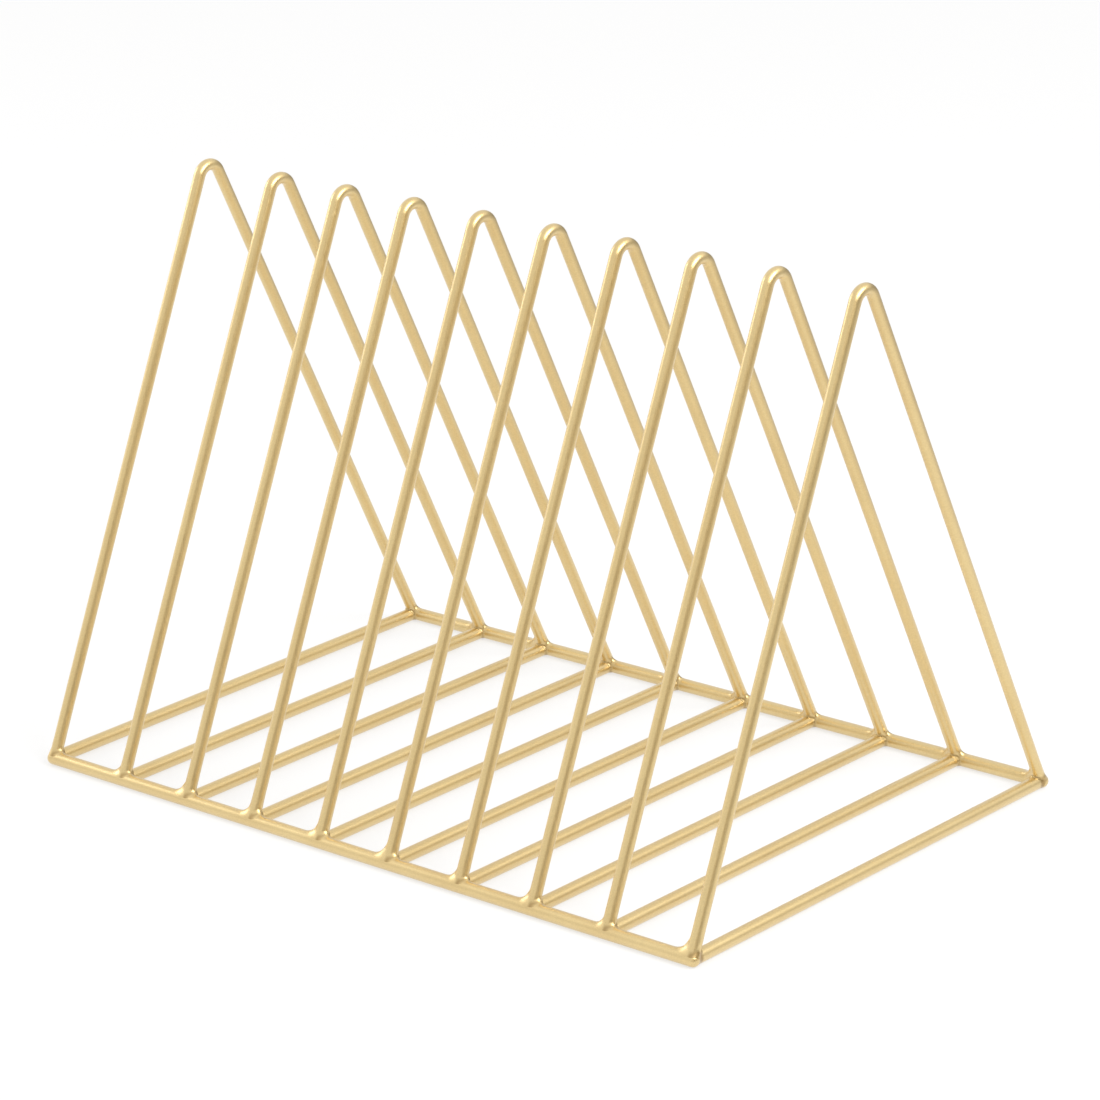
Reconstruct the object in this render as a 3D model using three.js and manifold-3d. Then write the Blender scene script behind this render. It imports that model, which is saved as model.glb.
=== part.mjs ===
// Desk file holder: a row of wire frames, bent like an inverted V, welded onto a front and a rear rail,
// with a straight base wire under each frame. Files stand in the slots between the frames.
// Millimetres, +Z up. +X runs along the row of slots and +Y from the front rail to the rear rail.
// The origin is on the desk, under the middle of the rack.

import * as THREE from "three";
import { mergeVertices } from "three/addons/utils/BufferGeometryUtils.js";
import Module from "manifold-3d";

// The row of slots
const slotCount = 9;
const slotPitch = 28; // one frame's centre to the next
const endSlotPitch = 31; // the first and the last slot are a little wider

// Rails, along the front and the back of the desk side
const railDiameter = 4.2;
const railSpacing = 164; // front rail's axis to rear rail's axis
const railOverhang = 2.5; // from the outermost frame's centre to the rail's tip

// Base wires, one under each frame
const baseWireDiameter = 4.2;

// Bent frame wires
const frameWireDiameter = 3.7;
const crownHeight = 176.5; // desk to the top of the bend
const crownBendRadius = 4.5; // to the wire's centre line

// Weld metal round each foot of a frame wire
const weldHeight = 3.6; // up the wire, from the rail's surface
const weldReach = 2.4; // along the rail, from the wire's side
const weldRim = 0.55; // edge of the weld, above the rail's surface
const weldWrap = 0.2; // over the rail's round, from the wire's side
const weldRoot = 0.1; // the weld's top edge lies this deep in the wire
const weldFootHeight = 1; // the weld's lowest edge, above the rail's axis

// Clearance between two pieces that are welded face to face
const jointGap = 0.3;

// Facets
const railSides = 16;
const wireSides = 12;
const crownSteps = 14;
const tipSteps = 4;
const weldSteps = 5;

const wasm = await Module();
wasm.setup();

// The satin champagne gold that the whole rack is finished in
function satinGold(name) {
  const material = new THREE.MeshStandardMaterial({ color: "#d9bc7c", roughness: 0.36, metalness: 0.9 });
  material.name = name;
  return material;
}

// A polygon whose flat sides touch the circle of this diameter has its corners at this radius
function cornerRadius(diameter, sides) {
  return diameter / 2 / Math.cos(Math.PI / sides);
}

// Positions alone, with shared vertices merged and the collapsed triangles at a pole dropped
function closedGeometry(geometry) {
  const bare = new THREE.BufferGeometry();
  bare.setAttribute("position", geometry.getAttribute("position").clone());
  bare.setIndex(geometry.getIndex());
  const merged = mergeVertices(bare, 1e-4);
  const corners = merged.getIndex().array;
  const kept = [];
  for (let i = 0; i < corners.length; i += 3) {
    const [a, b, c] = corners.slice(i, i + 3);
    if (a !== b && b !== c && c !== a) {
      kept.push(a, b, c);
    }
  }
  merged.setIndex(kept);
  return merged;
}

function solidFrom(geometry) {
  const closed = closedGeometry(geometry);
  const vertProperties = new Float32Array(closed.getAttribute("position").array);
  const triVerts = new Uint32Array(closed.getIndex().array);
  return new wasm.Manifold(new wasm.Mesh({ numProp: 3, vertProperties, triVerts }));
}

function geometryFrom(solid) {
  const mesh = solid.getMesh();
  const geometry = new THREE.BufferGeometry();
  geometry.setAttribute("position", new THREE.BufferAttribute(new Float32Array(mesh.vertProperties), 3));
  geometry.setIndex(new THREE.BufferAttribute(new Uint32Array(mesh.triVerts), 1));
  geometry.computeVertexNormals();
  return geometry;
}

// Where things stand: the frames along X, the two rails in Y, and the axis heights above the desk
const rowLength = (slotCount - 2) * slotPitch + 2 * endSlotPitch;
const frontY = -railSpacing / 2;
const rearY = railSpacing / 2;
const railAxisHeight = railDiameter / 2;
const baseAxisHeight = baseWireDiameter / 2;

function framePositions() {
  const positions = [-rowLength / 2];
  for (let i = 1; i < slotCount; i += 1) {
    positions.push(-rowLength / 2 + endSlotPitch + (i - 1) * slotPitch);
  }
  positions.push(rowLength / 2);
  return positions;
}

// The frame wire's centre line, in the YZ plane: a straight leg from each rail's axis, tangent to the bend
class BentWireCurve extends THREE.Curve {
  constructor() {
    super();
    const bendCentreHeight = crownHeight - frameWireDiameter / 2 - crownBendRadius;
    const rise = bendCentreHeight - railAxisHeight;
    const reach = Math.hypot(railSpacing / 2, rise);
    // the leg's slope above the desk
    this.slope = Math.atan2(rise, railSpacing / 2) + Math.asin(crownBendRadius / reach);
    this.bendCentre = new THREE.Vector3(0, 0, bendCentreHeight);
    this.steps = crownSteps + 2;
  }

  // The angle round the bend, measured from the front leg's tangent point over the crown
  onBend(turn) {
    const angle = Math.PI / 2 + this.slope - turn;
    const y = crownBendRadius * Math.cos(angle);
    const z = crownBendRadius * Math.sin(angle);
    return new THREE.Vector3(0, y, z).add(this.bendCentre);
  }

  // One step for each leg and crownSteps for the bend, whatever their lengths
  getPoint(t) {
    const along = t * this.steps;
    if (along <= 1) {
      return new THREE.Vector3(0, frontY, railAxisHeight).lerp(this.onBend(0), along);
    }
    if (along >= this.steps - 1) {
      const foot = new THREE.Vector3(0, rearY, railAxisHeight);
      return this.onBend(2 * this.slope).lerp(foot, along - this.steps + 1);
    }
    return this.onBend((2 * this.slope * (along - 1)) / crownSteps);
  }

  getTangent(t) {
    const share = THREE.MathUtils.clamp((t * this.steps - 1) / crownSteps, 0, 1);
    const climb = this.slope * (1 - 2 * share);
    return new THREE.Vector3(0, Math.cos(climb), Math.sin(climb));
  }

  getUtoTmapping(u) {
    return u;
  }
}

// A straight rod along Y with square ends, lying on flat sides
function straightRod(diameter, sides, length) {
  const radius = cornerRadius(diameter, sides);
  return new THREE.CylinderGeometry(radius, radius, length, sides, 1, false, Math.PI / sides);
}

// A rod along X with a round tip at each end, centred on its own axis
function roundTippedRod(diameter, sides, halfLength) {
  const tipLength = diameter / 2;
  const tip = new THREE.EllipseCurve(
    0, halfLength - tipLength, cornerRadius(diameter, sides), tipLength, 0, Math.PI / 2);
  const upper = tip.getPoints(tipSteps);
  upper[tipSteps].x = 0;
  const lower = upper.map((point) => new THREE.Vector2(point.x, -point.y)).reverse();
  const rod = new THREE.LatheGeometry([...lower, ...upper], sides, Math.PI / sides);
  rod.rotateZ(-Math.PI / 2);
  return rod;
}

// The space that a rail needs in the pieces welded onto it, seen from a frame that stands at x
function railSpace(x, y) {
  const halfLength = rowLength / 2 + railOverhang + jointGap;
  const rod = roundTippedRod(railDiameter + 2 * jointGap, railSides, halfLength);
  rod.translate(-x, y, railAxisHeight);
  return solidFrom(rod);
}

// The space that a base wire needs in the frame wire that stands over it
function baseWireSpace() {
  const rod = straightRod(baseWireDiameter + 2 * jointGap, wireSides, railSpacing);
  rod.translate(0, 0, baseAxisHeight);
  return solidFrom(rod);
}

// The round wire bent to shape, from rail axis to rail axis
function bentWire(curve) {
  const radius = cornerRadius(frameWireDiameter, wireSides);
  const corners = [];
  for (let i = 0; i < wireSides; i += 1) {
    const angle = ((i + 0.5) * 2 * Math.PI) / wireSides;
    corners.push(new THREE.Vector2(radius * Math.cos(angle), radius * Math.sin(angle)));
  }
  const section = new THREE.Shape(corners);
  return new THREE.ExtrudeGeometry(section, { steps: curve.steps, extrudePath: curve, bevelEnabled: false });
}

// The weld round a foot: a hollow-sided flare about the wire, long along the rail and narrow across it.
// On the side where the rail ends, outward being 1 or -1 there and otherwise 0, it stops at the rail's tip.
function weldFlare(outward) {
  const wireRadius = frameWireDiameter / 2;
  const rimHeight = railDiameter / 2 + weldRim;
  const topHeight = railDiameter / 2 + weldHeight;
  const toe = wireRadius + weldReach;
  const root = wireRadius - weldRoot;
  const flank = new THREE.EllipseCurve(
    toe, topHeight, toe - root, topHeight - rimHeight, Math.PI, 1.5 * Math.PI);
  const profile = [new THREE.Vector2(0, topHeight), ...flank.getPoints(weldSteps)];
  profile.push(new THREE.Vector2(toe, weldFootHeight));
  profile.push(new THREE.Vector2(0, weldFootHeight));
  const flare = new THREE.LatheGeometry(profile.reverse(), wireSides, Math.PI / wireSides);
  flare.scale(1, 1, (wireRadius + weldWrap) / toe);
  const points = flare.getAttribute("position");
  for (let i = 0; i < points.count; i += 1) {
    if (points.getX(i) * outward > 0) {
      points.setX(i, (points.getX(i) * railOverhang) / toe);
    }
  }
  return flare;
}

// The flare stands on the rail's axis and leans with the leg. The rear one mirrors the front one's lean.
function frontWeld(slope, outward) {
  const flare = weldFlare(outward);
  flare.rotateX(slope);
  flare.translate(0, frontY, railAxisHeight);
  return solidFrom(flare);
}

function rearWeld(slope, outward) {
  const flare = weldFlare(outward);
  flare.rotateX(Math.PI - slope);
  flare.translate(0, rearY, railAxisHeight);
  return solidFrom(flare);
}

// A frame wire: bent rod and its two welds, seated on the rails and over the base wire
function frameWireGeometry(x) {
  const curve = new BentWireCurve();
  const outward = Math.abs(x) < rowLength / 2 ? 0 : Math.sign(x);
  let solid = solidFrom(bentWire(curve));
  solid = solid.add(frontWeld(curve.slope, outward)).add(rearWeld(curve.slope, outward));
  solid = solid.subtract(railSpace(x, frontY)).subtract(railSpace(x, rearY));
  solid = solid.subtract(baseWireSpace());
  return geometryFrom(solid);
}

// A base wire: a straight rod whose ends are cut to the round of the rails
function baseWireGeometry(x) {
  const rod = straightRod(baseWireDiameter, wireSides, railSpacing);
  rod.translate(0, 0, baseAxisHeight);
  const solid = solidFrom(rod).subtract(railSpace(x, frontY)).subtract(railSpace(x, rearY));
  return geometryFrom(solid);
}

// A rail: a straight round-tipped rod
function railGeometry() {
  return closedGeometry(roundTippedRod(railDiameter, railSides, rowLength / 2 + railOverhang));
}

function namedMesh(name, geometry, x, y, z) {
  const mesh = new THREE.Mesh(geometry, satinGold(`${name}_gold`));
  mesh.name = name;
  mesh.position.set(x, y, z);
  return mesh;
}

const fileHolder = new THREE.Group();

const rails = new THREE.Group();
rails.add(namedMesh("front_rail", railGeometry(), 0, frontY, railAxisHeight));
rails.add(namedMesh("rear_rail", railGeometry(), 0, rearY, railAxisHeight));
fileHolder.add(rails);

const frameWires = new THREE.Group();
const baseWires = new THREE.Group();
framePositions().forEach((x, i) => {
  const number = String(i + 1).padStart(2, "0");
  frameWires.add(namedMesh(`frame_wire_${number}`, frameWireGeometry(x), x, 0, 0));
  baseWires.add(namedMesh(`base_wire_${number}`, baseWireGeometry(x), x, 0, 0));
});
fileHolder.add(frameWires);
fileHolder.add(baseWires);

export default fileHolder;
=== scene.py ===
# Desk file holder: ten bent wires over ten base wires, welded to two rails and sprayed champagne gold.
# Shapes are worked out in millimetres and put into the meshes in metres.
import math
import bpy
import numpy as np
from mathutils import Matrix, Vector


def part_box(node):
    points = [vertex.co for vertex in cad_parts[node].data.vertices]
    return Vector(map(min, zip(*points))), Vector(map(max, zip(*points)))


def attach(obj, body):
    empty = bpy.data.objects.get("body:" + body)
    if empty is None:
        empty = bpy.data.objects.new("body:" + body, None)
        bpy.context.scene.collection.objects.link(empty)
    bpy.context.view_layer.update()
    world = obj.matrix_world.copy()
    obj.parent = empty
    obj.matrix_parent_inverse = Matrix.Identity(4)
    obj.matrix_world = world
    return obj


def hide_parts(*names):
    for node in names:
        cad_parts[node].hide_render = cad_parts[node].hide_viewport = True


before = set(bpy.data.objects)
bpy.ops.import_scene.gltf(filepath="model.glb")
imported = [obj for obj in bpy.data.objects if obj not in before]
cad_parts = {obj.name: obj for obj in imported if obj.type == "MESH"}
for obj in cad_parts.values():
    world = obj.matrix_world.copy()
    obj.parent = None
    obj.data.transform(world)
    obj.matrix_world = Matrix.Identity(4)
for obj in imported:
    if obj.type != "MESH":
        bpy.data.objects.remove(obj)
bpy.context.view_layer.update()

mm = 0.001


# Small helpers

def linearColour(hexCode):
    # sRGB hex to linear red, green, blue and an alpha of 1
    parts = [int(hexCode[i:i + 2], 16) / 255 for i in (1, 3, 5)]
    return [p / 12.92 if p <= 0.04045 else ((p + 0.055) / 1.055) ** 2.4 for p in parts] + [1.0]


def addNode(tree, kind, settings=None, inputs=None):
    # one node: settings are its own properties, inputs are values, or output sockets to link from
    node = tree.nodes.new(kind)
    for key, value in (settings or {}).items():
        setattr(node, key, value)
    for key, value in (inputs or {}).items():
        if isinstance(value, bpy.types.NodeSocket):
            tree.links.new(value, node.inputs[key])
        else:
            node.inputs[key].default_value = value
    return node


def boxInMillimetres(node):
    low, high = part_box(node)
    return np.array(low) / mm, np.array(high) / mm


def turnsRound(sides):
    return np.arange(sides) * 2 * math.pi / sides


# The rack's layout, read from the CAD nodes' boxes

frameNodes = sorted(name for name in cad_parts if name.startswith("frame_wire_"))
baseNodes = sorted(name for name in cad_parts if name.startswith("base_wire_"))
wireX = []
for node in baseNodes:
    low, high = boxInMillimetres(node)
    wireX.append((low[0] + high[0]) / 2)
frontLow, frontHigh = boxInMillimetres("front_rail")
rearLow, rearHigh = boxInMillimetres("rear_rail")

rack = {
    "railRadius": (frontHigh[2] - frontLow[2]) / 2,
    "railY": (rearHigh[1] + rearLow[1]) / 2,  # the front rail's axis is at minus this
    "railEnd": frontHigh[0],  # tip of the rails, from the middle
    "crownHeight": boxInMillimetres(frameNodes[0])[1][2],
}
tipCentre = rack["railEnd"] - rack["railRadius"]  # of the half ball at a rail's end
print("layout:", len(wireX), "wires, rails at y", round(rack["railY"], 2),
      "crown at", round(rack["crownHeight"], 2))


def tipGapAt(x):
    # How far along X the centre of the rails' round tip is from the wire at x, or None inside the row
    if x == wireX[0]:
        return -tipCentre - x
    if x == wireX[-1]:
        return tipCentre - x
    return None


# Weld metal

weld = {
    "reach": (4.8, 2.3),  # mm that it runs out along rail and leg, on the torch's side (-X) and the other
    "tipReach": 2.5,  # the same on an outer side, where the rail ends
    "frontShare": 0.4,  # share of the reach that is left across the rail, in front of the leg
    "crotch": 1.0,  # mm between a leg's inner side and its base wire
    "crotchRun": 0.75,  # mm that a foot's skin follows the base wire before it goes under it
    "butt": (2.4, 1.1),  # mm between a base wire's end and the rail, on the torch's side and the other
    "buttFrom": 1.5,  # mm from the rail's axis to where the base wire's own axis starts
    "underFrom": 0.35,  # mm that the base wire has to lengthen a ray by before a foot's skin dips
    "underRun": 0.9,  # mm more until it has dipped all the way
    "skin": 0.015,  # mm that the weld lies over the rods it joins
    "sink": 0.035,  # mm that its edge dips into them
    "skinRun": 0.2,  # share of the way from its top to its edge over which the skin comes up
    "sinkFrom": 0.7,  # and from which it dips
    "seed": 100,  # of the first foot; each foot has its own
    "unevenness": 0.14,  # share by which one joint's weld differs from the next
    "ripple": 0.14,  # mm that the bead's waves stand over its skin at most
    "rippleRound": (2, 3),  # waves round a foot, in the two sets that make the ripple
    "rippleAlong": (9, -13),  # and how many radians they turn from a foot's top to its edge
    "rippleEnd": 0.85,  # share of the way down where the ripple has faded
    "paintedShadeWidth": 0.9,  # mm from the bottom of a narrow corner to where its painted shade ends
    "paintedShadeShare": 0.85,  # share of the painted shade at the bottom of a corner
    "rodRun": 80.0,  # mm of leg and of base wire that a joint is worked out from
    "railRun": 60.0,  # mm of rail, on each side
    "halvings": 30,  # of a ray, to find the skin on it
}


def rodDistance(points, start, heading, length, radius):
    # Signed distance to a round-ended rod: how far a point is from the nearest point of the rod's
    # centre line, less the radius. Also gives the direction away from that line.
    along = np.clip((points - start) @ heading, 0, length)
    away = points - start - along[..., None] * heading
    gap = np.maximum(np.linalg.norm(away, axis=-1), 1e-9)
    return gap - radius, away / gap[..., None]


def bySide(pair, side):
    # From the first value of the pair, on the torch's side, to the second, as side goes from -1 to 1
    share = np.clip((side + 1) / 2, 0, 1)
    share = share * share * (3 - 2 * share)
    return pair[0] + (pair[1] - pair[0]) * share


def meltTogether(first, second, reach):
    # Smooth union: the smaller distance, less a quarter of w h^2, where h falls from 1 to 0 as the two
    # distances grow w apart. w is reach times the root of one minus the cosine between the two faces,
    # so rods that are flush melt without a bead. The direction turns from one rod's to the other's by h/2.
    (a, aDirection), (b, bDirection) = first, second
    cosine = np.clip((aDirection * bDirection).sum(-1), 0, 1)
    width = np.maximum(reach * np.sqrt(1 - cosine), 1e-6)
    h = np.clip(1 - np.abs(a - b) / width, 0, 1)
    towardsB = np.where(a < b, h / 2, 1 - h / 2)[..., None]
    direction = (1 - towardsB) * aDirection + towardsB * bDirection
    direction = direction / np.maximum(np.linalg.norm(direction, axis=-1, keepdims=True), 1e-9)
    return np.minimum(a, b) - width * h * h / 4, direction


def legDistance(points, slope):
    # From a leg, seen from its joint: it leaves along (0, cos slope, sin slope)
    leg = np.array([0, math.cos(slope), math.sin(slope)])
    return rodDistance(points, np.zeros(3), leg, weld["rodRun"], bentWire["radius"])


def baseDistance(points, startY):
    # From a base wire, seen from its joint: it leaves along Y and is as thick as the rail
    start = np.array([0, startY, 0])
    return rodDistance(points, start, np.array([0, 1.0, 0]), weld["rodRun"], rack["railRadius"])


def railDistance(points, tipGap):
    # From the rail, seen from a joint: it lies along X and ends at its round tip on an outer side
    low = -weld["railRun"] if tipGap is None or tipGap > 0 else tipGap
    high = weld["railRun"] if tipGap is None or tipGap < 0 else tipGap
    return rodDistance(points, np.array([low, 0, 0]), np.array([1.0, 0, 0]), high - low, rack["railRadius"])


def baseAndRail(points, tipGap):
    # A base wire's end melted into the rail, further on the torch's side
    butt = bySide(weld["butt"], points[..., 0] / rack["railRadius"])
    return meltTogether(baseDistance(points, weld["buttFrom"]), railDistance(points, tipGap), butt)


def towardsTip(turn, tipGap, edgeX):
    # On an outer side the edge's rays start towards the centre of the rail's round tip: which turns are on
    # that side, and where along X the rays of all the turns start
    outward = np.cos(turn) * math.copysign(1, tipGap) > 0
    return outward, np.where(outward, tipGap * np.abs(np.cos(turn)), edgeX)


def surfaceAlong(field, start, heading, longest, level):
    # How far along each ray the field rises to its level, by halving the stretch that holds it
    near = np.zeros(start.shape[:-1])
    far = near + longest
    for step in range(weld["halvings"]):
        middle = (near + far) / 2
        inside = field(start + middle[..., None] * heading) < level
        near = np.where(inside, middle, near)
        far = np.where(inside, far, middle)
    return (near + far) / 2


def weldLevel(share):
    # Height of the weld's skin over the bare rods, by the share of the way from its top, 0, to its edge, 1
    rise = np.clip(share / weld["skinRun"], 0, 1)
    dip = np.clip((share - weld["sinkFrom"]) / (1 - weld["sinkFrom"]), 0, 1)
    return weld["skin"] * rise - (weld["skin"] + weld["sink"]) * dip * dip


def paintedShadeShare(rings, x, slope):
    # Share of the painted shade, for the wire at x: a darker brown painted where the joints' narrow corners
    # lie in shade, greatest at the bottom of each corner on the side away from the torch (+X), and 0 from
    # the painted shade's width on. How far a point is from the bottom is the second smallest of its
    # distances to leg, rail and base wire.
    points = rings - [x, 0, rack["railRadius"]]
    points[..., 1] = rack["railY"] - np.abs(points[..., 1])
    railGap = np.linalg.norm(points[..., 1:], axis=-1) - rack["railRadius"]
    gaps = np.stack([legDistance(points, slope)[0], railGap, baseDistance(points, 0)[0]])
    second = np.sort(gaps, axis=0)[1]
    farSide = np.clip(points[..., 0] / weld["paintedShadeWidth"] + 0.5, 0, 1)
    return np.clip(1 - second / weld["paintedShadeWidth"], 0, 1) * farSide * weld["paintedShadeShare"]


# Meshes from rings

def makePiece(name, rings, attributes, material, node):
    # rings[i, j] is point j of ring i, in mm. The first and last ring have shrunk to one point each,
    # so quads join the rings between them and a fan of triangles closes each end.
    count, around = rings.shape[:2]
    body = rings[1:-1].reshape(-1, 3)
    points = np.vstack([rings[0, :1], body, rings[-1, :1]]) * mm
    i, j = np.meshgrid(np.arange(count - 3), np.arange(around), indexing="ij")
    right = (j + 1) % around
    quads = np.stack([i * around + j, (i + 1) * around + j,
                      (i + 1) * around + right, i * around + right], -1)
    quads = quads.reshape(-1, 4) + 1
    side = np.arange(around)
    turned = (side + 1) % around
    lastRow = 1 + (count - 3) * around
    startFan = np.stack([np.zeros(around, int), 1 + side, 1 + turned], -1)
    endFan = np.stack([np.full(around, len(points) - 1), lastRow + turned, lastRow + side], -1)
    corners = np.concatenate([quads.ravel(), startFan.ravel(), endFan.ravel()])
    totals = np.concatenate([np.full(len(quads), 4), np.full(2 * around, 3)])
    starts = np.concatenate([[0], np.cumsum(totals)[:-1]])
    mesh = bpy.data.meshes.new(name)
    mesh.vertices.add(len(points))
    mesh.vertices.foreach_set("co", points.ravel())
    mesh.loops.add(len(corners))
    mesh.loops.foreach_set("vertex_index", corners)
    mesh.polygons.add(len(totals))
    mesh.polygons.foreach_set("loop_start", starts)
    mesh.update(calc_edges=True)
    mesh.validate()
    for label, values in attributes.items():
        flat = np.concatenate([values[0, :1].reshape(1, -1), values[1:-1].reshape(len(body), -1),
                               values[-1, :1].reshape(1, -1)])
        kind, field = ("FLOAT_VECTOR", "vector") if flat.shape[1] == 3 else ("FLOAT", "value")
        mesh.attributes.new(label, kind, "POINT").data.foreach_set(field, flat.ravel())
    mesh.shade_smooth()
    mesh.materials.append(material)
    piece = bpy.data.objects.new(name, mesh)
    bpy.context.scene.collection.objects.link(piece)
    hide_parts(node)
    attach(piece, "root")


def straightened(travelled, turn, radius):
    # Each point's place on the wire before it was bent: round the wire in X and Y, along it in Z, in metres
    wire = np.empty((len(travelled), len(turn), 3))
    wire[..., 0] = radius * np.cos(turn) * mm
    wire[..., 1] = radius * np.sin(turn) * mm
    wire[..., 2] = travelled[:, None] * mm
    return wire


def wholeWire(front, body, rear, x, turn, radius):
    # The rings of the wire at x: a pole on the front rail's axis, the front end, the body, the rear end and
    # a pole on the rear rail's axis. Each end is its rings, seen from its joint, and their weld shares.
    frontJoint = np.array([0, -rack["railY"], rack["railRadius"]])
    rearJoint = np.array([0, rack["railY"], rack["railRadius"]])
    pole = np.zeros((1, len(turn), 3))
    poleShare = np.ones((1, len(turn)))
    rings = np.concatenate([pole + frontJoint, front[0][::-1] + frontJoint, body,
                            rear[0] * [1, -1, 1] + rearJoint, pole + rearJoint]) + [x, 0, 0]
    weldShare = np.concatenate([poleShare, front[1][::-1], np.zeros(body.shape[:2]), rear[1], poleShare])
    middle = rings.mean(axis=1)
    travelled = np.concatenate([[0], np.cumsum(np.linalg.norm(np.diff(middle, axis=0), axis=-1))])
    return rings, weldShare, straightened(travelled, turn, radius)


def placeWire(name, surface, x, node):
    # A wire's rings as a piece, kept within the rails' ends
    rings, weldShare, straightWire = surface
    rings[..., 0] = np.clip(rings[..., 0], -rack["railEnd"], rack["railEnd"])
    # the painted shade of the joints' narrow corners goes with the wire as a point attribute
    attributes = {"weldShare": weldShare ** 2, "paintedShade": paintedShadeShare(rings, x, legSlope()),
                  "straightWire": straightWire}
    makePiece(name, rings, attributes, gold, node)


# The finish

lacquer = {
    "gold": "#e2c98f",
    "goldDeep": "#d5b77a",  # in the thin patches and round the welds
    "paintedShade": "#977538",  # painted shade: a darker brown gold at the bottom of the joints' narrow corners, where shade falls
    "metallic": 1.0,
    "roughness": 0.4,
    "roughnessSpread": 0.04,  # more and less than that, over the dimples
    "coat": 1.0,
    "coatRoughness": 0.28,
    "peelSize": 1.4,  # mm from one soft dimple of the sprayed lacquer to the next
    "peelDepth": 0.006,
    "flakeSize": 0.3,  # mm; the real flakes are 0.05, which this distance can't show
    "flakeStrength": 0.045,
    "drawnLineWidth": 0.3,  # mm; lines left by the drawing die, under the lacquer
    "drawnLineLength": 12.0,
    "drawnLineDepth": 0.002,
    "patchSize": 30.0,  # mm; slow change of tint from one pass of the spray gun to the next
    "patchEdges": (0.35, 0.75),  # noise values where a patch begins and where it is full
    "patchTint": 0.35,  # share of the deep gold in a full patch
    "weldTint": 0.35,  # and at a weld
}


def champagneGoldLacquer():
    # Drawn iron wire, welded and sprayed with a satin champagne-gold metallic lacquer, then stoved.
    # The flakes scatter a wide soft gold, and the clear resin over them mirrors the light in white.
    material = bpy.data.materials.new("champagne_gold_metallic_lacquer_on_drawn_wire")
    material.use_nodes = True
    tree = material.node_tree
    tree.nodes.clear()
    place = addNode(tree, "ShaderNodeTexCoord").outputs["Object"]
    alongWire = addNode(tree, "ShaderNodeAttribute", {"attribute_name": "straightWire"}).outputs["Vector"]
    atWeld = addNode(tree, "ShaderNodeAttribute", {"attribute_name": "weldShare"}).outputs["Fac"]
    inPaintedShade = addNode(tree, "ShaderNodeAttribute", {"attribute_name": "paintedShade"}).outputs["Fac"]

    patches = addNode(tree, "ShaderNodeTexNoise", None,
                      {"Vector": place, "Scale": 1000 / lacquer["patchSize"], "Detail": 2.0})
    patchShare = addNode(tree, "ShaderNodeMapRange", None,
                         {"Value": patches.outputs["Fac"], "From Min": lacquer["patchEdges"][0],
                          "From Max": lacquer["patchEdges"][1], "To Max": lacquer["patchTint"]})
    flakes = addNode(tree, "ShaderNodeTexVoronoi", None,
                     {"Vector": place, "Scale": 1000 / lacquer["flakeSize"], "Randomness": 1.0})
    flakeShade = addNode(tree, "ShaderNodeSeparateColor", None, {"Color": flakes.outputs["Color"]})
    flakeGain = addNode(tree, "ShaderNodeMapRange", None,
                        {"Value": flakeShade.outputs["Red"], "To Min": 1 - lacquer["flakeStrength"],
                         "To Max": 1 + lacquer["flakeStrength"]})
    deepShare = addNode(tree, "ShaderNodeMath", {"operation": "MULTIPLY_ADD"},
                        {0: atWeld, 1: lacquer["weldTint"], 2: patchShare.outputs["Result"]})
    gold = addNode(tree, "ShaderNodeMix", {"data_type": "RGBA"},
                   {"Factor": deepShare.outputs["Value"], "A": linearColour(lacquer["gold"]),
                    "B": linearColour(lacquer["goldDeep"])})
    # painted shade: the corners' attribute mixes the darker brown in where the joints' crevices lie in
    # shade
    goldAndPaintedShade = addNode(tree, "ShaderNodeMix", {"data_type": "RGBA"},
                             {"Factor": inPaintedShade, "A": gold.outputs["Result"],
                              "B": linearColour(lacquer["paintedShade"])})
    goldFlaked = addNode(tree, "ShaderNodeVectorMath", {"operation": "SCALE"},
                         {0: goldAndPaintedShade.outputs["Result"], "Scale": flakeGain.outputs["Result"]})

    peel = addNode(tree, "ShaderNodeTexNoise", None,
                   {"Vector": place, "Scale": 1000 / lacquer["peelSize"], "Detail": 1.5})
    lineShape = (1, 1, lacquer["drawnLineWidth"] / lacquer["drawnLineLength"])
    squeezed = addNode(tree, "ShaderNodeMapping", None, {"Vector": alongWire, "Scale": lineShape})
    drawnLines = addNode(tree, "ShaderNodeTexNoise", None,
                         {"Vector": squeezed.outputs["Vector"], "Scale": 1000 / lacquer["drawnLineWidth"],
                          "Detail": 1.0})
    lineBump = addNode(tree, "ShaderNodeBump", None,
                       {"Height": drawnLines.outputs["Fac"], "Distance": lacquer["drawnLineDepth"] * mm})
    peelBump = addNode(tree, "ShaderNodeBump", None,
                       {"Height": peel.outputs["Fac"], "Distance": lacquer["peelDepth"] * mm,
                        "Normal": lineBump.outputs["Normal"]})
    roughness = addNode(tree, "ShaderNodeMapRange", None,
                        {"Value": peel.outputs["Fac"],
                         "To Min": lacquer["roughness"] - lacquer["roughnessSpread"],
                         "To Max": lacquer["roughness"] + lacquer["roughnessSpread"]})
    shader = addNode(tree, "ShaderNodeBsdfPrincipled", None,
                     {"Base Color": goldFlaked.outputs["Vector"], "Metallic": lacquer["metallic"],
                      "Roughness": roughness.outputs["Result"], "Coat Weight": lacquer["coat"],
                      "Coat Roughness": lacquer["coatRoughness"], "Normal": peelBump.outputs["Normal"]})
    addNode(tree, "ShaderNodeOutputMaterial", None, {"Surface": shader.outputs["BSDF"]})
    return material


gold = champagneGoldLacquer()
print("finish made:", gold.name)


# Bent frame wires, with the welds round their feet

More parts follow.
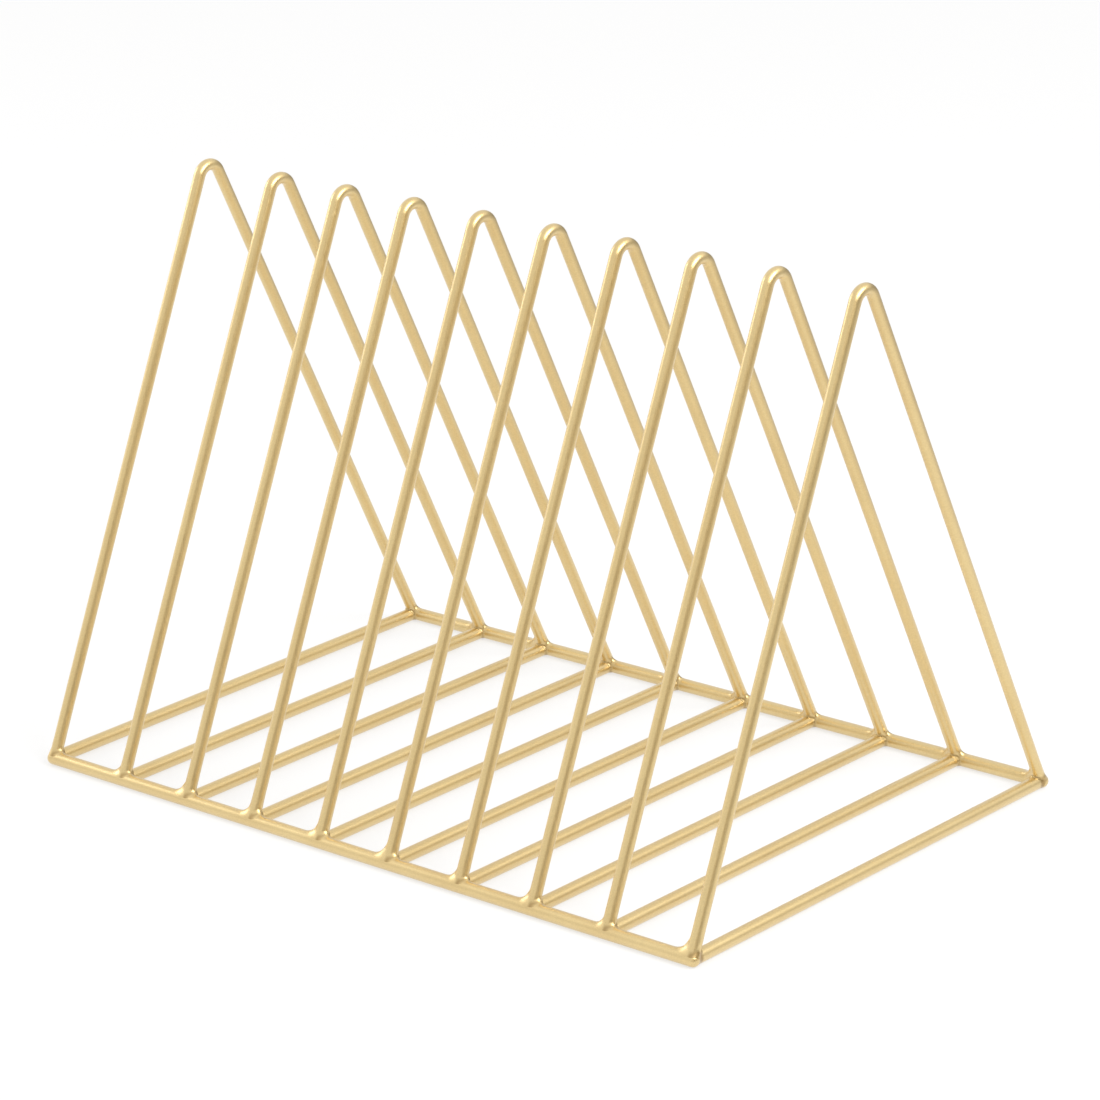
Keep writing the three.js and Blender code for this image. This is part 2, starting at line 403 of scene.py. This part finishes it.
bentWire = {
    "radius": 1.85,
    "bendRadius": 4.5,  # to the centre line
    "weldTop": 8.2,  # where the straight leg takes over, along the leg from the rail's axis
    "weldFront": 86.0,  # degrees round the rail, from the leg, to the weld's edge in front
    "tipDown": 80.0,  # degrees that the edge goes down a rail's round tip, on an outer side
    "edgeSpare": 0.5,  # mm beyond the weld's reach to where the edge's rays start
    "startPull": 0.9,  # mm up the leg from the joint, a point that pulls the curve of the rays' starts
    "ringCrowding": 0.9,  # below 1 the rings stand closer together towards the edge
    "longestRay": 9.0,
    "baseRay": 2.0,  # mm that the base wire can lengthen a ray by
    "sides": 96,
    "legRings": 10,
    "weldRings": 38,
    "bendRings": 36,
}


def legSlope():
    # The leg runs from the rail's axis and touches the bend's circle: its slope is that of the line to the
    # bend's centre plus the angle whose sine is the bend's radius over the length of that line.
    rise = rack["crownHeight"] - bentWire["radius"] - bentWire["bendRadius"] - rack["railRadius"]
    lineLength = math.hypot(rack["railY"], rise)
    return math.atan2(rise, rack["railY"]) + math.asin(bentWire["bendRadius"] / lineLength)


def footReach(turn, tipGap):
    # How far the weld runs out, by the turn round the foot: reach, going over into tipReach towards a
    # rail's tip, and only frontShare of that straight across the rail
    reach = bySide(weld["reach"], np.cos(turn))
    if tipGap is not None:
        outerShare = np.clip(np.cos(turn) * math.copysign(1, tipGap), 0, 1)
        reach = reach + (weld["tipReach"] - reach) * outerShare
    return reach * (weld["frontShare"] + (1 - weld["frontShare"]) * np.cos(turn) ** 2)


def footRays(turn, share, slope, reach, tipGap):
    # The rays on which a foot's skin is found, by turn and share. Their start slides down the leg's axis
    # and out along the rail's, and their direction swings from square to the leg to square to the rail.
    across = np.array([1.0, 0, 0])
    leg = np.array([0, math.cos(slope), math.sin(slope)])
    outer = np.array([0, -math.sin(slope), math.cos(slope)])
    edgeX = (bentWire["radius"] + reach * (1 + weld["unevenness"]) + bentWire["edgeSpare"]) * np.cos(turn)
    tilt = np.zeros_like(turn)
    if tipGap is not None:
        outward, edgeX = towardsTip(turn, tipGap, edgeX)
        tilt = np.where(outward, np.radians(bentWire["tipDown"]) * np.cos(turn), 0)
    swing = np.radians(bentWire["weldFront"]) * np.sin(turn)
    square = np.cos(swing)[:, None] * leg + np.sin(swing)[:, None] * outer
    toeward = np.cos(tilt)[:, None] * square + np.sin(tilt)[:, None] * across
    fromLeg = np.cos(turn)[:, None] * across + np.sin(turn)[:, None] * outer
    s = share[..., None]
    start = (1 - s) ** 2 * bentWire["weldTop"] * leg + 2 * s * (1 - s) * bentWire["startPull"] * leg
    start = start + s ** 2 * edgeX[:, None] * across
    heading = (1 - s) * fromLeg + s * toeward
    return start, heading / np.linalg.norm(heading, axis=-1, keepdims=True)


def footRings(slope, tipGap, seed):
    # The skin of one foot, seen from its joint, where the rail's axis is X, the base wire leaves along Y
    # and the leg along (0, cos slope, sin slope). Each point lies on its ray where the melted rods'
    # distance field reaches the weld's level. tipGap is how far beyond the joint the rail's round tip is
    # centred, or None inside the row.
    chance = np.random.default_rng(seed)
    turn = turnsRound(bentWire["sides"])
    share = (np.linspace(0, 1, bentWire["weldRings"]) ** bentWire["ringCrowding"])[:, None]
    reach = footReach(turn, tipGap)
    start, heading = footRays(turn, share, slope, reach, tipGap)
    lump = chance.uniform(-1, 1, 3) * weld["unevenness"]
    phase = chance.uniform(0, 2 * math.pi, 4)
    uneven = 1 + lump[0] + lump[1] * np.cos(turn + phase[0]) + lump[2] * np.cos(2 * turn + phase[1])
    reach = reach * uneven

    def legAndRail(points):
        return meltTogether(legDistance(points, slope), railDistance(points, tipGap), reach)

    def allThree(points):
        return meltTogether(legAndRail(points), baseAndRail(points, tipGap), weld["crotch"])

    # the bead's ripple only adds metal, and only at the sides of the foot
    bead = np.sin(np.clip(share / weld["rippleEnd"], 0, 1) * math.pi) ** 2
    (roundA, roundB), (alongA, alongB) = weld["rippleRound"], weld["rippleAlong"]
    waves = 2 + np.sin(roundA * turn + alongA * share + phase[2])
    waves = waves + np.sin(roundB * turn + alongB * share + phase[3])
    level = weldLevel(share) + weld["ripple"] / 4 * bead * waves * np.cos(turn) ** 2
    # where a ray would run on along the base wire, the skin dips under that wire's surface instead
    bare = surfaceAlong(lambda p: legAndRail(p)[0], start, heading, bentWire["longestRay"], level)
    full = surfaceAlong(lambda p: allThree(p)[0], start, heading, bare + bentWire["baseRay"], level)
    under = np.clip((full - bare - weld["underFrom"]) / weld["underRun"], 0, 1)
    level = level - (weld["skin"] + 2 * weld["sink"]) * under * under
    full = surfaceAlong(lambda p: allThree(p)[0], start, heading, bare + weld["crotchRun"], level)
    points = start + full[..., None] * heading
    points[..., 2] = np.maximum(points[..., 2], -rack["railRadius"])  # the desk's plane
    return points, np.broadcast_to(share, level.shape)


def frameWireRings(x, tipGap, seed):
    # A circle of the wire's radius carried along the centre line: up the front leg, round the bend, down
    # the rear leg. The circle lies in the plane of X and the centre line's normal. The feet are footRings.
    slope = legSlope()
    radius, bendRadius = bentWire["radius"], bentWire["bendRadius"]
    turn = turnsRound(bentWire["sides"])
    legLength = (rack["railY"] - bendRadius * math.sin(slope)) / math.cos(slope)
    onLeg = np.linspace(bentWire["weldTop"], legLength, bentWire["legRings"] + 2)[1:-1]
    bendTurn = np.linspace(slope, -slope, bentWire["bendRings"])
    bendHeight = rack["crownHeight"] - radius - bendRadius
    legY = onLeg * math.cos(slope) - rack["railY"]
    legZ = onLeg * math.sin(slope) + rack["railRadius"]
    climb = np.concatenate([np.full(len(onLeg), slope), bendTurn, np.full(len(onLeg), -slope)])
    centreY = np.concatenate([legY, -bendRadius * np.sin(bendTurn), -legY[::-1]])
    centreZ = np.concatenate([legZ, bendHeight + bendRadius * np.cos(bendTurn), legZ[::-1]])
    lift = radius * np.sin(turn)
    y = centreY[:, None] - np.sin(climb)[:, None] * lift
    z = centreZ[:, None] + np.cos(climb)[:, None] * lift
    body = np.stack([np.broadcast_to(radius * np.cos(turn), y.shape), y, z], -1)
    front = footRings(slope, tipGap, seed)
    rear = footRings(slope, tipGap, seed + 1)
    return wholeWire(front, body, rear, x, turn, radius)


for k, (x, node) in enumerate(zip(wireX, frameNodes)):
    surface = frameWireRings(x, tipGapAt(x), weld["seed"] + 2 * k)
    placeWire("bent_wire_%02d" % (k + 1), surface, x, node)
print("bent wires made:", len(frameNodes))


# Base wires, melted into the inner sides of the rails

baseWire = {
    "flareFrom": 6.0,  # from the rail's axis, where the plain round wire ends
    "edgeReach": 1.1,  # times the butt's reach, and
    "edgeSpare": 0.3,  # mm beyond that, to where the edge's rays start
    "startPull": 0.8,  # mm along the wire from the joint, a point that pulls the curve of the rays' starts
    "tipLoss": 0.8,  # share of the edge's direction that gives way, at a rail's tip,
    "tipOutward": 0.9,  # to this much outwards
    "longestRay": 6.0,
    "sides": 56,
    "flareRings": 20,
    "bodyRings": 14,
}


def baseEndRings(tipGap):
    # The end of a base wire, seen from its joint. As on a foot, the rays' start slides down the wire's axis
    # and out along the rail's, and their direction swings from square to the wire to square to the rail.
    radius = rack["railRadius"]
    turn = turnsRound(baseWire["sides"])
    share = np.linspace(0, 1, baseWire["flareRings"])[:, None]
    across, inward, up = np.eye(3)
    butt = bySide(weld["butt"], np.cos(turn))
    edgeX = (radius + butt * baseWire["edgeReach"] + baseWire["edgeSpare"]) * np.cos(turn)
    fromWire = np.cos(turn)[:, None] * across + np.sin(turn)[:, None] * up
    toeward = np.abs(np.cos(turn))[:, None] * inward + np.sin(turn)[:, None] * up
    if tipGap is not None:
        outward, edgeX = towardsTip(turn, tipGap, edgeX)
        side = np.where(outward, np.cos(turn), 0)[:, None]
        toeward = toeward * (1 - np.abs(side) * baseWire["tipLoss"])
        toeward = toeward + side * baseWire["tipOutward"] * across
    s = share[..., None]
    start = (1 - s) ** 2 * baseWire["flareFrom"] * inward + 2 * s * (1 - s) * baseWire["startPull"] * inward
    start = start + s ** 2 * edgeX[:, None] * across
    heading = (1 - s) * fromWire + s * toeward
    heading = heading / np.linalg.norm(heading, axis=-1, keepdims=True)
    level = np.minimum(weldLevel(share), 0) + 0 * turn  # the feet's skin lies over this one
    along = surfaceAlong(lambda p: baseAndRail(p, tipGap)[0], start, heading, baseWire["longestRay"], level)
    points = start + along[..., None] * heading
    points[..., 2] = np.maximum(points[..., 2], -radius)  # the desk's plane
    return points, np.broadcast_to(share, level.shape)


def baseWireRings(x, tipGap):
    # A straight tube along Y between its two flared ends
    radius = rack["railRadius"]
    turn = turnsRound(baseWire["sides"])
    reachY = rack["railY"] - baseWire["flareFrom"]
    y = np.linspace(-reachY, reachY, baseWire["bodyRings"] + 2)[1:-1, None] + 0 * turn
    body = np.stack([radius * np.cos(turn) + 0 * y, y, radius * (1 + np.sin(turn)) + 0 * y], -1)
    end = baseEndRings(tipGap)
    return wholeWire(end, body, end, x, turn, radius)


for k, (x, node) in enumerate(zip(wireX, baseNodes)):
    placeWire("base_rod_%02d" % (k + 1), baseWireRings(x, tipGapAt(x)), x, node)
print("base wires made:", len(baseNodes))


# Rails

railRod = {
    "sides": 48,
    "tipRings": 12,
    "bodyRings": 80,
    "tint": 0.5,  # of a weld's tint, at a wire
    "tintReach": 6.0,  # mm each side of a wire over which it fades
}


def railRings(y):
    # A tube along X with a half ball at each tip: on the ball the ring's radius is R cos t and its centre
    # has moved on by R sin t
    radius = rack["railRadius"]
    turn = turnsRound(railRod["sides"])
    bulge = np.linspace(0, math.pi / 2, railRod["tipRings"])
    tipX = tipCentre + radius * np.sin(bulge)
    tipGirth = radius * np.cos(bulge)
    body = np.linspace(-tipCentre, tipCentre, railRod["bodyRings"])[1:-1]
    x = np.concatenate([-tipX[::-1], body, tipX])
    girth = np.concatenate([tipGirth[::-1], np.full(len(body), radius), tipGirth])
    rings = np.stack([x[:, None] + 0 * turn, y + girth[:, None] * np.sin(turn),
                      radius + girth[:, None] * np.cos(turn)], -1)
    nearest = np.abs(x[:, None] - np.array(wireX)).min(axis=1)
    weldShare = railRod["tint"] * np.exp(-(nearest / railRod["tintReach"]) ** 2)[:, None] + 0 * turn
    return rings, {"weldShare": weldShare, "straightWire": straightened(x, turn, radius)}


for name, node, y in (("front_rod", "front_rail", -rack["railY"]),
                      ("rear_rod", "rear_rail", rack["railY"])):
    rings, attributes = railRings(y)
    makePiece(name, rings, attributes, gold, node)
print("rails made")


# Floor, light and camera

studio = {
    "floorColour": "#959595",
    "floorRoughness": 0.9,
    "floorSpecular": 0.1,
    "paintedFloorGlow": 0.66,  # painted glow: the floor gives off light of its own near the rack, so shadows on it stay faint
    "glowFullTo": 0.3,  # m to the camera's right, where the painted glow starts to fade
    "glowFadedFrom": 0.6,  # and from where only the weaker painted glow is left
    "paintedGlowFar": 0.25,
    "cameraRight": (0.74, 0.67, 0.0),  # along the table
    "floorSize": 9.0,
    "floorDrop": 0.00002,  # m under the desk's plane, so that no underside lies in it
    "tentLow": 0.87,  # brightness of the white light tent all round, near the table
    "tentHigh": 0.96,  # and at the top
    "roomColour": "#ffc95f",  # of the dim warm room that shows through the tent's first gap
    "lampAim": (0.0, 0.0, 0.06),
}

# each gap: the way it faces, the cosines of the angles from there where it begins and where it is full, the
# sines of the elevations between which it fades out, and how much of the tent's light it takes away. The
# first is the open side, to the camera's right, and the second is behind the rack.
tentGaps = [
    {"side": (0.978, -0.208, 0.0), "edges": (0.52, 0.86), "heights": (0.28, 0.5), "darkness": 0.93},
    {"side": (0.087, 0.996, 0.0), "edges": (0.7, 0.95), "heights": (0.28, 0.5), "darkness": 0.65},
]

# each softbox: where it stands (m), its width and height (m) and how bright its face is
softboxes = {
    "key": {"at": (1.01, 0.04, 1.02), "size": (1.1, 0.5), "brightness": 7.2},
    "left": {"at": (-1.25, -0.3, 0.63), "size": (0.36, 0.5), "brightness": 4.5},
}

view = {
    "target": (0.008115, 0.0, 0.074608),
    "azimuth": 42.187,  # degrees round from the front, towards +X
    "elevation": 18.844,
    "roll": -2.312,
    "distance": 1.382513,
    "focalPixels": 4608.839,  # the photograph's focal length
    "photoWidth": 1100,  # pixels
    "sensorWidth": 36,  # mm
}


def smoothRange(tree, inputs):
    settings = {"interpolation_type": "SMOOTHSTEP"}
    return addNode(tree, "ShaderNodeMapRange", settings, inputs).outputs["Result"]


def shareAlong(tree, place, direction):
    settings = {"operation": "DOT_PRODUCT"}
    return addNode(tree, "ShaderNodeVectorMath", settings, {0: place, 1: direction}).outputs["Value"]


def paperWithPaintedGlow():
    # Matt white paper with a painted glow: it gives off light of its own, full near the rack and fading
    # towards the camera's right
    material = bpy.data.materials.new("white_matt_paper_painted_glow")
    material.use_nodes = True
    tree = material.node_tree
    shader = tree.nodes["Principled BSDF"]
    shader.inputs["Base Color"].default_value = linearColour(studio["floorColour"])
    shader.inputs["Roughness"].default_value = studio["floorRoughness"]
    shader.inputs["Specular IOR Level"].default_value = studio["floorSpecular"]
    shader.inputs["Emission Color"].default_value = (1, 1, 1, 1)
    onTable = addNode(tree, "ShaderNodeTexCoord").outputs["Object"]
    rightward = shareAlong(tree, onTable, studio["cameraRight"])
    glow = smoothRange(tree, {"Value": rightward, "From Min": studio["glowFullTo"],
                              "From Max": studio["glowFadedFrom"], "To Min": studio["paintedFloorGlow"],
                              "To Max": studio["paintedGlowFar"]})
    # painted glow: the floor's own emission, no lamp lies under it
    tree.links.new(glow, shader.inputs["Emission Strength"])
    return material


def tentWorld():
    # White all round and a little brighter towards the top. In each gap the brightness falls by the gap's
    # darkness, and the first gap also takes on the room's colour.
    world = bpy.data.worlds.new("white_light_tent")
    world.use_nodes = True
    tree = world.node_tree
    heading = addNode(tree, "ShaderNodeTexCoord").outputs["Generated"]
    upward = addNode(tree, "ShaderNodeSeparateXYZ", None, {"Vector": heading}).outputs["Z"]
    shade = smoothRange(tree, {"Value": upward, "To Min": studio["tentLow"], "To Max": studio["tentHigh"]})
    openShares = []
    for gap in tentGaps:
        sideways = shareAlong(tree, heading, gap["side"])
        across = smoothRange(tree, {"Value": sideways, "From Min": gap["edges"][0],
                                    "From Max": gap["edges"][1]})
        below = smoothRange(tree, {"Value": upward, "From Min": gap["heights"][0],
                                   "From Max": gap["heights"][1], "To Min": gap["darkness"], "To Max": 0.0})
        openShare = addNode(tree, "ShaderNodeMath", {"operation": "MULTIPLY"}, {0: across, 1: below})
        openShares.append(openShare.outputs["Value"])
        dimmed = {"Value": openShares[-1], "To Min": shade, "To Max": 0.0}
        shade = addNode(tree, "ShaderNodeMapRange", None, dimmed).outputs["Result"]
    tint = addNode(tree, "ShaderNodeMix", {"data_type": "RGBA"},
                   {"Factor": openShares[0], "A": (1.0, 1.0, 1.0, 1.0),
                    "B": linearColour(studio["roomColour"])})
    background = tree.nodes["Background"]
    tree.links.new(tint.outputs["Result"], background.inputs["Color"])
    tree.links.new(shade, background.inputs["Strength"])
    return world


floorMesh = bpy.data.meshes.new("paper_floor")
half = studio["floorSize"] / 2
floorCorners = [(-half, -half, 0), (half, -half, 0), (half, half, 0), (-half, half, 0)]
floorMesh.from_pydata(floorCorners, [], [(0, 1, 2, 3)])
floorMesh.materials.append(paperWithPaintedGlow())
floor = bpy.data.objects.new("paper_floor", floorMesh)
bpy.context.scene.collection.objects.link(floor)
floor.location.z = -studio["floorDrop"]
bpy.context.scene.world = tentWorld()

for name, box in softboxes.items():
    light = bpy.data.lights.new(name, "AREA")
    light.shape = "RECTANGLE"
    light.size, light.size_y = box["size"]
    light.energy = box["brightness"] * math.pi * box["size"][0] * box["size"][1]  # W, for that brightness
    lamp = bpy.data.objects.new(name, light)
    bpy.context.scene.collection.objects.link(lamp)
    lamp.location = box["at"]
    towards = Vector(studio["lampAim"]) - Vector(box["at"])
    lamp.rotation_euler = towards.to_track_quat("-Z", "Y").to_euler()

camera = bpy.data.cameras.new("camera")
camera.sensor_width = view["sensorWidth"]
camera.lens = view["focalPixels"] / view["photoWidth"] * view["sensorWidth"]
cameraObject = bpy.data.objects.new("camera", camera)
bpy.context.scene.collection.objects.link(cameraObject)
azimuth, elevation = math.radians(view["azimuth"]), math.radians(view["elevation"])
backward = Vector((math.sin(azimuth) * math.cos(elevation), -math.cos(azimuth) * math.cos(elevation),
                   math.sin(elevation)))
facing = backward.to_track_quat("Z", "Y").to_matrix().to_4x4()
cameraObject.matrix_world = (Matrix.Translation(Vector(view["target"]) + backward * view["distance"])
                             @ facing @ Matrix.Rotation(math.radians(view["roll"]), 4, "Z"))
bpy.context.scene.camera = cameraObject
bpy.context.scene.view_settings.view_transform = "Standard"
print("studio made")
